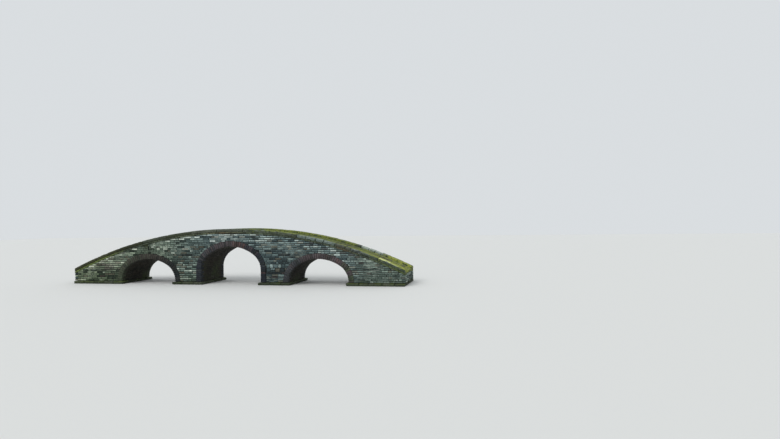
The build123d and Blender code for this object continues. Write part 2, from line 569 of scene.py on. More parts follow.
def add_block(masonry, face, polygon, rng, slot, look,
              proud=0.0, depth=brick_depth, corner=None, spacing=point_spacing, bow=brick_bow):
    """One brick or stone behind a polygon of a face: worn arrises, uneven surface, and painted shade, partly
    dirt, that darkens its lower edge and lightens its top.
    """
    height = max(b for a, b in polygon) - min(b for a, b in polygon)
    corner = min(corner or rng.uniform(*brick_wear), 0.16 * height)
    outline = worn_outline(polygon, rng, corner, spacing)
    count = len(outline)
    if count < 3:
        return
    middle = middle_of(outline)
    half_height = max(abs(b - middle[1]) for a, b in outline)
    tilt = [rng.uniform(-most, most) for most in block_tilt]
    # Rings of points from the foot to the face: how far in, how far out and how rough each is
    rings = [
        (0.0, -depth, 0.0),
        (0.0, proud - corner * 0.8, 0.002),
        (corner * 0.35, proud - corner * 0.22, 0.001),
        (corner * 1.3, proud, bow * 0.6),
        (corner * 3.2, proud, bow),
    ]
    points = []
    for shrink, out, rough in rings:
        for a, b in outline:
            away = hypot(a - middle[0], b - middle[1])
            share = 1 - shrink / max(away, shrink * 1.5)
            across, up = (a - middle[0]) * share, (b - middle[1]) * share
            lean = across * tilt[0] + up * tilt[1] if out > -depth else 0.0
            out_here = min(proud, out + lean - rng.uniform(0, rough))
            points.append((middle[0] + across, middle[1] + up, out_here))
    points += [(*middle, proud - rng.uniform(0, bow)), (*middle, -depth)]
    last = (len(rings) - 1) * count
    sides = [(i, (i + 1) % count) for i in range(count)]
    faces = [(n + i, n + j, n + count + j, n + count + i) for n in range(0, last, count) for i, j in sides]
    for i, j in sides:
        faces += [(last + i, last + j, last + count), (j, i, last + count + 1)]
    # Painted shade, partly dirt: the lower points darker, the upper points lighter
    shade_and_grime = [1.0 + edge_shade_and_grime * clamp((p[1] - middle[1]) / half_height, -1.0, 0.5) for p in points]
    colour, *growth = look
    masonry.add(face.place(points), faces, slot, np.outer(shade_and_grime, colour), *growth)


def pointing_at(x, z, side):
    """How much of the joints' pale pointing has lasted."""
    kept = smooth(noise((x * 1.3, z * 2.6, side * 5.0 + 2.0)), 0.12, 0.42) * 0.7
    if side == FRONT:
        kept = max(kept, strength_at(POINTED_PLACES, x, z))
    return kept


def add_mortar(masonry, face, cell, kept=None):
    """The face of the mortar round one block: flush and pale where it has lasted, else washed out."""
    outline = []
    for a, b in edges_of(cell):
        steps = max(1, round(dist(a, b) / point_spacing))
        outline += [mixed(a, b, step / steps) for step in range(steps)]
    outline.append(middle_of(cell))
    points, colours = [], []
    for x, z in outline:
        share = pointing_at(x, z, face.side) if kept is None else kept
        share *= smooth(noise((x * 9, z * 9, face.side)), -0.45, 0.1)
        rough = mortar_roughness * noise((x * 17, z * 17, face.side + 9.0))
        recess = washed_recess + (pointed_recess - washed_recess) * share + rough
        points.append((x, z, -clamp(recess, 0.002, backing_recess - 0.002)))
        colours.append(mixed(WASHED_OUT, POINTING, share))
    last = len(outline) - 1
    masonry.add(face.place(points), [(i, (i + 1) % last, last) for i in range(last)], 0, colours)


def wall_look(x, z, side, rng):
    """Colour, moss and lime of a wall brick."""
    row = round(z / course_height)
    tone = 0.45 + 0.22 * noise((x * 0.8, z * 1.6, side * 7.0))
    tone += 0.40 * noise((x * 2.3, row * 5.3, side * 3.0)) + rng.gauss(0, 0.18)
    tone -= 0.2 * pointing_at(x, z, side)
    if side == FRONT:
        tone += strength_at(PALE_PLACES, x, z) - strength_at(DARK_PLACES, x, z)
        if x < 1.0 and camber_height(wall_top_depth, x) - z < course_height:
            tone += 0.2
        tone += (0.5 - tone) * 0.35 * smooth(x, 4.0, 4.6)
    drift = 2.5 * noise((x * 0.5, z * 0.9, side * 2.0))
    blueness = smooth(x + 1.2 * (z - 1) + drift, -6.5, 1.5) * (1 - 0.4 * smooth(x, 4.0, 5.0))
    colour = mixed(ramped(GREEN_TONES, tone), ramped(BLUE_TONES, tone), blueness)
    if rng.random() < 0.09:
        colour = mixed(colour, BROWN_GREY, 0.55)
    elif rng.random() < 0.04:
        colour = mixed(colour, BRICK_RED, 0.3)
    if side == FRONT:
        colour = mixed(colour, PINK_GREY, strength_at(PINK_PLACES, x, z) * rng.random())
        colour = mixed(colour, COPING_OLIVE, strength_at(OLIVE_PLACES, x, z))
    moss = max(0.0, 0.45 - (z - footing_top) * 1.6) + 0.12 * rng.random()
    return colour, moss, clamp(tone * rng.uniform(0.3, 1.3), 0.0, 1.0)


def lay_brick(masonry, face, cell, rng, corner_at=None, joint=None, **shape):
    """Set one brick of a wall in its cell of mortar, unless the cell is a sliver."""
    add_mortar(masonry, face, cell)

    def gap_of(a, b):
        if corner_at is not None and abs(a[0] - corner_at) + abs(b[0] - corner_at) < 1e-4:
            return 0.0
        across, up = abs(a[0] - b[0]), abs(a[1] - b[1])
        gap = bed_joint if up < across * 0.1 else head_joint if across < up * 0.1 else cut_joint
        return (joint or gap) / 2 * rng.uniform(0.7, 1.3)

    brick = inset(cell, gap_of)
    if len(brick) < 3 or area_of(brick) < smallest_face:
        return
    look = wall_look(*middle_of(brick), face.side, rng)
    fate = rng.random()
    if fate < broken_share and corner_at is None:
        brick = broken_corner(brick, rng)
    if broken_share < fate < broken_share + sunk_share:
        shape = {"proud": -rng.uniform(*sunk_depth), "bow": sunk_bow, **shape}
    if corner_at is not None:
        shape = {"depth": header, **shape}
    add_block(masonry, face, brick, rng, 1, look, **shape)


def long_enough(runs):
    return [(a, b) for a, b in runs if b - a > shortest_run]


def runs_of_course(low, high, start, end):
    """Stretches of a course between the arch rings, before its bricks are cut."""
    runs = []
    left = start
    for arch in arches.values():
        if low < arch.springing + arch.rise + ring_thickness:
            narrow = arch.half_width_at(high, ring_thickness)
            if arch.centre - narrow > left:
                runs.append((left, min(arch.centre - narrow, end)))
            left = max(left, arch.centre + narrow)
    return long_enough([*runs, (left, end)])


def brick_lengths(run, rng, half_offset):
    """Brick lengths that fill a run, none of them too short."""
    lengths = []
    left = run
    if half_offset and left > 2 * stretcher:
        lengths.append(header)
        left -= header
    while left > 0:
        length = rng.choices(list(brick_shares), brick_shares.values())[0] * rng.uniform(0.94, 1.06)
        if left - length < shortest_bat:
            length = left / 2 if left > stretcher * 1.15 else left
        lengths.append(length)
        left -= length
    return lengths


def cut_to_bridge(polygon):
    """Cut a polygon clear of the arch rings and below the camber."""
    for arch in arches.values():
        gap, nearest, outward = arch.beyond(*middle_of(polygon), ring_thickness)
        if gap < stretcher * 1.15:
            polygon = clipped(polygon, nearest, outward)
            if len(polygon) < 3:
                return []
    x = middle_of(polygon)[0]
    slope = x / (camber_radius - wall_top_depth)
    return clipped(polygon, (x, camber_height(wall_top_depth, x)), (-slope, -sqrt(1 - slope**2)))


def plan_rubble():
    """Low, high, start and end of each row of rough stones in the front."""
    rng = Random("rubble")
    rows = []
    for px, pz, reach, tall in RUBBLE_PLACES:
        low = footing_top + ceil((pz - tall - footing_top) / course_height) * course_height
        while low < pz + tall:
            high = low + rng.choice((1, 2, 2)) * course_height
            rows.append((low, high, px - reach - rng.uniform(0, 0.06), px + reach + rng.uniform(0, 0.06)))
            low = high
    return rows


rubble_rows = plan_rubble()


def runs_beside_rubble(low, high, start, end):
    """Stretches of a course of the front, less what rough stones take up."""
    runs = runs_of_course(low, high, start, end)
    for bottom, top, left, right in rubble_rows:
        if bottom < (low + high) / 2 < top:
            runs = long_enough([part for a, b in runs for part in ((a, min(b, left)), (max(a, right), b))])
    return runs


def lay_courses(masonry, face, start, end, top, rng, corners, runs_at, cut):
    """Courses of brick between two places along a face, bonded round the corners that they meet."""
    for course in range(ceil((top - footing_top) / course_height)):
        low = footing_top + course * course_height
        stops_short = (course + (face.side in (LEFT_END, RIGHT_END))) % 2
        first = start + header if start in corners and stops_short else start
        last = end - header if end in corners and stops_short else end
        for x, stop in runs_at(low, low + course_height, first, last):
            for length in brick_lengths(stop - x, rng, course % 2 == 0):
                cell = cut(oblong(x, x + length, low, low + course_height))
                corner_at = next((c for c in corners if min(abs(x - c), abs(x + length - c)) < 1e-4), None)
                if len(cell) > 2:
                    lay_brick(masonry, face, cell, rng, corner_at)
                x += length


def lay_wall(masonry, face, start, end, seed, corners=()):
    """Brickwork of a long face between two places along it."""
    rng = Random(seed)
    top = max(camber_height(wall_top_depth, x) for x in (start, end))
    runs_at = runs_beside_rubble if face.side == FRONT else runs_of_course
    lay_courses(masonry, face, start, end, top, rng, corners, runs_at, cut_to_bridge)
    if face.side == FRONT:
        lay_rubble(masonry, face, start, end, rng)


def lay_end(masonry, face, seed):
    """Brickwork of an end, its last course with bricks on edge between the string courses."""
    rng = Random(seed)
    corners = (-half_width, half_width)
    top = camber_height(wall_top_depth, half_length)
    inner = inner_half_width

    def runs_at(low, high, start, end):
        return [(start, end)] if high < top else [(start, -inner), (inner, end)]

    def cut(cell):
        return clipped(cell, (0, top), (0, -1))

    lay_courses(masonry, face, *corners, top, rng, corners, runs_at, cut)
    count = round(2 * inner / voussoir_pitch)
    pitch = 2 * inner / count
    low = footing_top + (top - footing_top) // course_height * course_height
    high = camber_height(paving_foot_depth, half_length)
    for number in range(count):
        x = number * pitch - inner
        lay_brick(masonry, face, oblong(x, x + pitch, low, high), rng)


def lay_rubble(masonry, face, wall_start, wall_end, rng):
    """Rough stones of uneven sizes, some on top of each other."""
    shape = {"joint": rubble_joint, "corner": rubble_wear, "bow": rubble_bow}
    for low, high, start, end in rubble_rows:
        x, lean = start, 0.0
        while wall_start <= start < wall_end and x < end:
            length = rng.uniform(*rubble_length)
            next_lean = rng.uniform(-rubble_lean, rubble_lean)
            if end - x - length < course_height:
                length, next_lean = end - x, 0.0
            split = low + (high - low) * rng.uniform(0.42, 0.58)
            stacked = high - low > 1.5 * course_height and rng.random() < 0.4
            for bottom, top in ((low, split), (split, high)) if stacked else ((low, high),):
                shares = [(z - low) / (high - low) for z in (bottom, top)]
                left = [x + lean * share for share in shares]
                right = [x + length + next_lean * share for share in shares]
                cell = cut_to_bridge([(left[0], bottom), (right[0], bottom), (right[1], top), (left[1], top)])
                if len(cell) > 2:
                    lay_brick(masonry, face, cell, rng, **shape)
            x, lean = x + length, next_lean


def build_walls(materials):
    """Brickwork of the pier walls and of the abutments, with their ends."""
    arch_spacing = arches["right"].centre
    for end_name, end_face in end_faces.items():
        node = f"{end_name}_abutment_walls"
        abutment = Masonry(node, recessed(half_length, half_width))
        for face_name, face in long_faces.items():
            direction = end_face.out[0] * face.across[0]
            low, high = sorted((direction * arch_spacing, direction * half_length))
            lay_wall(abutment, face, low, high, node + face_name, corners=(direction * half_length,))
            pier_node = f"{face_name}_{end_name}_pier_wall"
            pier = Masonry(pier_node, recessed(half_length * 2, half_width))
            low, high = sorted((0.0, direction * arch_spacing))
            lay_wall(pier, face, low, high, pier_node)
            pier.build(f"{pier_node}_brickwork", materials, "wall_brick", pier_node)
        lay_end(abutment, end_face, node)
        abutment.build(f"{node}_brickwork", materials, "wall_brick", node)


def ring_look(name, share, rng, side):
    """Colour, moss and lime of a voussoir, by its place round the ring."""
    colour = ramped(RING_TONES[name], share + rng.uniform(-0.14, 0.14))
    red = 0.05
    if side == FRONT and name in RED_VOUSSOIRS:
        red += 0.8 * hump(share, *RED_VOUSSOIRS[name])
    if rng.random() < red:
        colour = mixed(colour, BRICK_RED, rng.uniform(0.3, 0.7))
    if rng.random() < 0.12:
        colour = mixed(colour, DAMP, 0.5)
    moss = 0.15 * rng.random() + 0.12 * smooth(abs(share - 0.5), 0.12, 0.36)
    return colour, moss, 0.35 * rng.random()


def lay_ring(masonry, name, arch, start, pitch, bond, rng):
    """The two voussoirs at one place round an arch, front and back."""
    feet = [arch.at(start)[0], arch.at(start, ring_thickness)[0]]
    heads = [arch.at(start + pitch, ring_thickness)[0], arch.at(start + pitch)[0]]
    proud = ring_half_width - half_width

    def gap_of(a, b):
        radial = dist(a, b) > ring_thickness * 0.9
        return ring_joint / 2 * rng.uniform(0.7, 1.4) if radial else rng.uniform(0.0, 0.003)

    for face in long_faces.values():
        cell = [(face.across[0] * x, z) for x, z in feet + heads]
        if area_of(cell) < 0:
            cell.reverse()
        add_mortar(masonry, face, cell, kept=0.25)
        look = ring_look(name, (start + pitch / 2) / arch.length, rng, face.side)
        stone = inset(cell, gap_of)
        if rng.random() < 0.2:
            stone = broken_corner(stone, rng)
        sunk = rng.choice(ring_sunk)
        add_block(masonry, face, stone, rng, 1, look, proud - sunk, bond - proud, ring_wear)


def lay_soffit_row(masonry, arch, start, pitch, bond, rng):
    """One row of bricks across the soffit, between the voussoirs."""
    (x, z), outward = arch.at(start + pitch / 2)
    face = Face(BACK, (x, 0, z), (0, 1, 0), (-outward[0], 0, -outward[1]), (-outward[1], 0, outward[0]))
    reach = ring_half_width - bond
    count = round(2 * reach / stretcher)
    length = 2 * reach / count
    for number in range(count):
        a = number * length - reach
        cell = oblong(a, a + length, -pitch / 2, pitch / 2)
        brick = inset(cell, lambda p, q: ring_joint / 2 * rng.uniform(0.7, 1.4))
        damp = noise((x * 1.5, a * 1.5, z * 1.5))
        # Painted shade under the arch, partly damp: the soffit tones are dark
        colour = ramped(SOFFIT_DAMP_AND_SHADE_TONES, 0.5 + damp * 0.6 + rng.gauss(0, 0.15))
        moss = max(0.0, 0.35 + 0.9 * damp) if outward[0] < 0 else 0.2 * rng.random()
        look = colour, moss, 0.5 * rng.random() ** 4
        sunk = rng.choice(soffit_sunk)
        add_block(masonry, face, brick, rng, 2, look, -sunk, corner=ring_wear, spacing=0.4)


def build_barrels(materials):
    """Rings of voussoirs, long and short by turns, and soffit bricks between them."""
    in_faces = recessed(half_length, ring_half_width)
    for name, arch in arches.items():
        node = f"{name}_arch_barrel"
        rng = Random(node)

        def recess_barrel(point):
            """Set back the mortar of the faces, and a little that of the soffit."""
            gap, nearest, outward = arch.beyond(point.x, point.z)
            if abs(gap) < 0.002:
                point.x, point.z = shifted(nearest, outward, soffit_recess)
            return in_faces(point)

        masonry = Masonry(node, recess_barrel)
        count = round(arch.length / voussoir_pitch)
        pitch = arch.length / count
        for number in range(count):
            bond = header if number % 2 else stretcher * 0.93
            lay_ring(masonry, name, arch, number * pitch, pitch, bond, rng)
            lay_soffit_row(masonry, arch, number * pitch, pitch, bond, rng)
        masonry.build(f"{node}_brickwork", materials, "ring_brick", node)


def filled(start, end, draw, shortest):
    """Starts and lengths of pieces that fill a stretch, the last of them made to fit."""
    while start < end - shortest_run:
        length = draw()
        if end - start - length < shortest:
            length = end - start
        yield start, length
        start += length


def string_look(x, side, rng):
    """Colour, moss and lime of a string course's brick, by its place along."""
    orange = strength_at(ORANGE_STRING, x) if side == FRONT else 0.3
    colour = mixed(STRING_OLIVE, STRING_ORANGE, min(1.0, orange * rng.uniform(0.2, 1.2)))
    if rng.random() < 0.3:
        colour = mixed(colour, DAMP, 0.45)
    if side == FRONT:
        # Darker along some stretches: partly damp, partly painted shade under the coping
        colour = mixed(colour, DAMP, strength_at(DAMP_AND_SHADED_STRING, x))
    mossy = smooth(-x, 4.0, 5.0) + 0.5 * smooth(x, 4.8, 5.5)
    colour = mixed(colour, mixed(MOSS_OLIVE, MOSS_GREEN, 0.4), 0.75 * mossy)
    return colour, 0.2 * rng.random(), 0.2 * rng.random()


def string_brick(outline, rng):
    """A string course's brick: joints at its ends, next to none above and below."""
    return inset(outline, lambda a, b: head_joint / 2 if abs(a[0] - b[0]) < 0.05 else rng.uniform(0, 0.004))


def add_string_end(masonry, long_face, end_face, rng):
    """The two bricks at one end of a string course, behind the last of its long face."""
    out = long_face.out[1] * end_face.across[1]
    low, high = (camber_height(depth, half_length) for depth in (wall_top_depth, coping_thickness))
    outer, inner = out * (string_half_width - string_depth), out * inner_half_width
    for ends in ((outer, (outer + inner) / 2), ((outer + inner) / 2, inner)):
        brick = string_brick(oblong(*sorted(ends), low, high), rng)
        look = string_look(half_length * end_face.out[0], BACK, rng)
        add_block(masonry, end_face, brick, rng, 1, look, depth=string_depth)


def build_string_courses(materials):
    """Thin course of bricks that steps out under the coping and follows the camber."""
    proud = string_half_width - half_width
    for face_name, long_face in long_faces.items():
        node = f"{face_name}_string_course"
        rng = Random(node)
        masonry = Masonry(node, recessed(half_length, string_half_width))

        def draw():
            return rng.choice((stretcher, stretcher, header)) * rng.uniform(0.95, 1.05)

        for x, length in filled(-half_length, half_length, draw, shortest_bat):
            lower = [(place, camber_height(wall_top_depth, place)) for place in (x, x + length)]
            upper = [(place, camber_height(coping_thickness, place)) for place in (x + length, x)]
            brick = string_brick(lower + upper, rng)
            sunk = rng.choice(string_sunk)
            look = string_look(x, long_face.side, rng)
            add_block(masonry, long_face, brick, rng, 1, look, proud - sunk, string_depth)
        for end_face in end_faces.values():
            add_string_end(masonry, long_face, end_face, rng)
        masonry.build(f"{node}_brickwork", materials, "string_brick", node)


def rounded_block(size, cuts, radius):
    """Points and faces of a block with rounded edges and so many cuts each way."""
    stops = []
    for half, cut in zip(size, cuts):
        inner = half - radius
        stops.append([-half] + [inner * (2 * i / cut - 1) for i in range(cut + 1)] + [half])
    index, faces = {}, []
    for axis, a, b in ((0, 1, 2), (1, 2, 0), (2, 0, 1)):
        for end in (0, len(stops[axis]) - 1):
            for i, j in product(range(len(stops[a]) - 1), range(len(stops[b]) - 1)):
                quad = []
                for di, dj in ((0, 0), (1, 0), (1, 1), (0, 1)):
                    key = [end] * 3
                    key[a], key[b] = i + di, j + dj
                    quad.append(index.setdefault(tuple(key), len(index)))
                faces.append(quad if end else quad[::-1])
    points = []
    for key in index:
        corner = [stops[axis][n] for axis, n in enumerate(key)]
        core = [clamp(c, radius - half, half - radius) for c, half in zip(corner, size)]
        points.append(mixed(core, corner, radius / dist(corner, core)))
    return points, faces


def add_stone(masonry, size, cuts, seed, look, place, wear_kind):
    """A worn stone: rounded edges, chipped arrises and an uneven surface, all within its size."""
    radius, rough, chip = STONE_WEAR[wear_kind]
    points, faces = rounded_block(size, cuts, radius)
    rng = Random(seed)
    offset = Vector([rng.uniform(-50, 50) for _ in range(3)])
    placed = []
    for p in points:
        v = Vector(p)
        wear = rough * (0.6 + 0.6 * noise(v * 7 + offset) + 0.4 * noise(v * 19 + offset))
        if sum(abs(c) > half - radius * 1.2 for c, half in zip(p, size)) >= 2:
            wear += chip * smooth(noise(v * 11 - offset), 0.05, 0.5)
        inward = Vector([(c / half) ** 3 for c, half in zip(p, size)]).normalized()
        placed.append(tuple(place(v - inward * clamp(wear, 0.0, min(size) * 0.7))))
    masonry.add(placed, faces, 1, *(look(points) if callable(look) else look))


def bent_to_camber(arc, depth, across):
    """A function that bends a block to the camber, upright at the bridge's ends."""

    def place(v):
        radius = camber_radius - depth + v.z
        x = radius * sin((arc + v.x) / camber_radius)
        upright = smooth(abs(arc + v.x), end_arc - upright_reach, end_arc)
        x += copysign(half_length * (1 - radius / camber_radius) * upright, x)
        x = clamp(x, -half_length, half_length)
        return Vector((x, v.y + across, camber_centre + sqrt(radius**2 - x**2)))

    return place


def coping_moss(x, side):
    """How mossy a row of coping is: least near the crown, most at the right end."""
    patches = 0.3 * noise((x * 1.3, side * 3.0, 7.0))
    if side == BACK:
        return 0.15 + 0.4 * smooth(x, -0.1, 0.7) - 0.9 * hump(x, *PALE_BACK_COPING) + patches
    changes = [rise * smooth(x, low, high) for low, high, rise in COPING_MOSS_STEPS]
    return patches + sum(changes, LEFT_COPING_MOSS)


def coping_look(arc, side, out, size, rng):
    """A function that weathers a coping stone: mossy inside; at its outer top edge pale lime, partly a
    painted highlight, and near the front's right end a bright crust, a painted sunlit highlight.
    """
    share = rng.random()
    if side == BACK:
        paleness = 0.15 * share + 0.85 * hump(arc, *PALE_BACK_COPING)
        colour, lime = mixed(COPING_GREY, COPING_LIGHT, paleness), 0.3
    else:
        stretch = next(stretch for stretch in COPING_STRETCHES if arc < stretch[0])
        first, second, least, spread, lime = stretch[1:]
        colour = mixed(first, second, least + spread * share)
        if stretch is COPING_STRETCHES[0]:
            colour = mixed(colour, DAMP, 0.25 * smooth(arc, -4.5, -4.0))
    yellow = 0.5 * smooth(arc, -0.2, 0.6) + 0.5 * smooth(arc, 4.6, 5.4)
    # The bright crust at the front's right end: a painted sunlit highlight on the outer top edge
    crust = 0.7 * smooth(arc, 5.0, 5.5) * (side == FRONT)

    def at(points):
        moss, colours, yellows = [], [], []
        for x, y, z in points:
            outer, upper = out * y / size[1], z / size[2]
            start = 0.75 - 1.1 * hump(arc + x, *COPING_SUNLIT_CRUST) * (side == FRONT)
            worn = smooth(noise(((arc + x) * 9, y * 9, z * 9 + side)), -0.5, 0.2)
            arris = smooth(outer, start, start + 0.22) * smooth(upper, 0.35, 0.9) * worn
            moss.append(coping_moss(arc + x, side) + 0.45 * (1 - smooth(outer, -0.1, 0.75)))
            # Lime bloom on the outer top arris, partly a painted highlight of the lit edge
            colours.append(mixed(colour, LIME_BLOOM, 0.6 * lime * arris))
            yellows.append(yellow + crust * arris)
        return colours, moss, lime, yellows

    return at


def build_coping(materials):
    """Rows of worn coping stones, some of them broken, with mortar in their joints."""
    width = coping_half_width - inner_half_width
    stone_length = 2 * end_arc / coping_stones
    joint_size = (joint_half, width / 2 - joint_recess[0], coping_thickness / 2 - joint_recess[1])
    joint_look = (mixed(WASHED_OUT, EARTH, 0.5), 0.5)
    for face_name, face in long_faces.items():
        rng = Random(face_name + " coping")
        masonry = Masonry()
        out = face.out[1]
        for number in range(coping_stones):
            breaks = [rng.uniform(0.35, 0.65)] if rng.random() < broken_coping_share else []
            cuts_at = [0.0, *BROKEN_COPING.get((face_name, number), breaks), 1.0]
            for begin, finish in zip(cuts_at, cuts_at[1:]):
                arc = -end_arc + (number + (begin + finish) / 2) * stone_length
                length = stone_length * (finish - begin) - coping_gap
                sunk, back = (rng.uniform(0, coping_unevenness) for _ in range(2))
                size = (length / 2, (width - back) / 2, (coping_thickness - sunk) / 2)
                middle = out * (inner_half_width + (width - back) / 2)
                place = bent_to_camber(arc, (coping_thickness + sunk) / 2, middle)
                look = coping_look(arc, face.side, out, size, rng)
                cuts = (max(3, round(length / coping_cut)), 8, 3)
                seed = f"{face_name} {arc:.3f}"
                kind = "broken coping" if len(cuts_at) > 3 else "coping"
                add_stone(masonry, size, cuts, seed, look, place, kind)
                joint_arc = arc + stone_length * (finish - begin) / 2
                if joint_arc < end_arc - 0.1:
                    place = bent_to_camber(joint_arc, coping_thickness / 2 + joint_half, middle)
                    add_stone(masonry, joint_size, (1, 7, 2), seed + "joint", joint_look, place, "joint")
        nodes = [f"{face_name}_coping_stone_{n + 1:02d}" for n in range(coping_stones)]
        masonry.build(f"{face_name}_coping_row", materials, "coping_stone", *nodes)


def deck_moss(arc, across):
    """How mossy the deck is: most at its edges and right of the crown, least on the path."""
    edge = smooth(abs(across) / inner_half_width, 0.15, 0.85)
    patches = 0.55 * noise((arc * 1.4, across * 2.6, 4.0))
    return 0.2 + 0.36 * edge + 0.24 * smooth(arc, -0.5, 1.5) + patches


def add_paving_stone(masonry, kind, arc, start, width, size, sunk, cuts, rng):
    """A stone of the deck, mossier towards its edges."""
    across = start + width / 2
    colour = ramped(DECK_TONES, 0.5 + rng.gauss(0, 0.25))
    moss, lime = deck_moss(arc, across) - 0.12, 0.3 * rng.random()

    def look(points):
        edge = [max(abs(x) / size[0], abs(y) / size[1]) for x, y, z in points]
        mosses = [moss + 0.45 * smooth(e, 0.4, 1.0) for e in edge]
        return colour, mosses, lime, 0.1 + 0.85 * smooth(arc, 4.2, 5.4)

    place = bent_to_camber(arc, kerb_height + sunk + size[2], across)
    add_stone(masonry, size, cuts, f"{kind} {arc:.3f} {start:.3f}", look, place, kind)


def build_deck(materials):
    """Rows of worn setts in mossy earth, and a row of stones across each end."""
    rng = Random("deck")

    def sink(point):
        """Lower the paving's top under the earth."""
        away = hypot(point.x, point.z - camber_centre)
        scale = min(away, camber_radius - kerb_height - paving_recess) / away
        x = clamp(point.x * scale, backing_recess - half_length, half_length - backing_recess)
        return (x, point.y, camber_centre + (point.z - camber_centre) * scale)

    masonry = Masonry("deck_paving", sink)
    reach_across = inner_half_width - kerb_gap
    for sign in (-1, 1):
        draw = partial(rng.uniform, *end_stone_width)
        for start, width in filled(-reach_across, reach_across, draw, narrowest_end_stone):
            sunk = rng.uniform(*end_stone_sunk)
            length, half_height = end_stone_length - end_stone_gap, (paving_thickness - sunk) / 2
            size = (length / 2, width / 2 - end_stone_gap, half_height)
            arc = sign * (end_arc - end_stone_length / 2)
            add_paving_stone(masonry, "end", arc, start, width, size, sunk, (4, 6, 2), rng)
    reach = end_arc - end_stone_length
    add_earth(masonry, reach)
    rows = round(2 * reach / sett_row)
    for row in range(rows):
        arc = -reach + (row + 0.5) * 2 * reach / rows
        draw = partial(rng.uniform, *sett_width)
        for start, width in filled(-reach_across, reach_across, draw, narrowest_sett):
            gaps = [rng.uniform(*sett_gap_along), rng.uniform(*sett_gap_across)]
            size = (reach / rows - gaps[0], width / 2 - gaps[1], sett_half_depth)
            sunk = rng.uniform(0.0, sett_sunk)
            add_paving_stone(masonry, "sett", arc, start, width, size, sunk, (4, 4, 1), rng)
    masonry.build("deck_setts", materials, "deck_stone", "deck_paving")


def add_earth(masonry, reach):
    """Mossy earth between the setts, washed out in places."""
    columns, rows = round(2 * reach / earth_spacing), earth_rows
    points, colours, faces = [], [], []
    for column in range(columns + 1):
        arc = -reach + 2 * reach * column / columns
        for row in range(rows + 1):
            across = inner_half_width * (2 * row / rows - 1)
            moss = deck_moss(arc, across)
            rough = 0.003 * noise((arc * 12, across * 12, 1.0))
            depth = kerb_height + earth_depth - 0.008 * smooth(moss, 0.3, 0.7) + rough
            points.append(tuple(bent_to_camber(arc, depth, across)(Vector())))
            colours.append(mixed(EARTH, MOSS_OLIVE, smooth(moss, 0.3, 0.6)))
            if column < columns and row < rows:
                a = column * (rows + 1) + row
                faces.append((a, a + rows + 1, a + rows + 2, a + 1))
    masonry.add(points, faces, 0, colours, moss=0.6)


def uneven_row(low, high, count, sway, rng):
    """Starts and ends of stones of uneven sizes that fill a length."""
    stops = [low + (high - low) * i / count for i in range(count + 1)]
    stops[1:-1] = [stop + rng.uniform(-sway, sway) for stop in stops[1:-1]]
    return zip(stops, stops[1:])


def build_footings(materials):
    """Rough stones under the piers and abutments, with weathered top edges."""
    for name in ("left_abutment", "left_pier", "right_pier", "right_abutment"):
        node = f"{name}_footing"
        low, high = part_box(node)
        tall = high.z
        rng = Random(node)

        def shrink(point):
            x = clamp(point.x, low.x + backing_recess, high.x - backing_recess)
            y = clamp(point.y, low.y + backing_recess, high.y - backing_recess)
            return (x, y, min(point.z, high.z - backing_recess))

        masonry = Masonry(node, shrink)
        columns = max(2, round((high.x - low.x) / footing_stone_length))
        for left, right in uneven_row(low.x, high.x, columns, footing_stone_sway[0], rng):
            for near, far in uneven_row(low.y, high.y, rng.choice((4, 5)), footing_stone_sway[1], rng):
                sunk = rng.uniform(0, footing_sunk)
                size = ((right - left) / 2 - footing_gap, (far - near) / 2 - footing_gap, (tall - sunk) / 2)
                middle = Vector((left + right, near + far, tall - sunk)) / 2
                colour = ramped(FOOTING_TONES, 0.5 + rng.gauss(0, 0.25))
                look = colour, rng.uniform(0.3, 0.7), 0.3 * rng.random()
                seed = f"{node} {left:.3f} {near:.3f}"
                add_stone(masonry, size, (7, 7, 2), seed, look, lambda v: v + middle, "footing")
        masonry.build(f"{node}_stones", materials, "footing_stone", node)


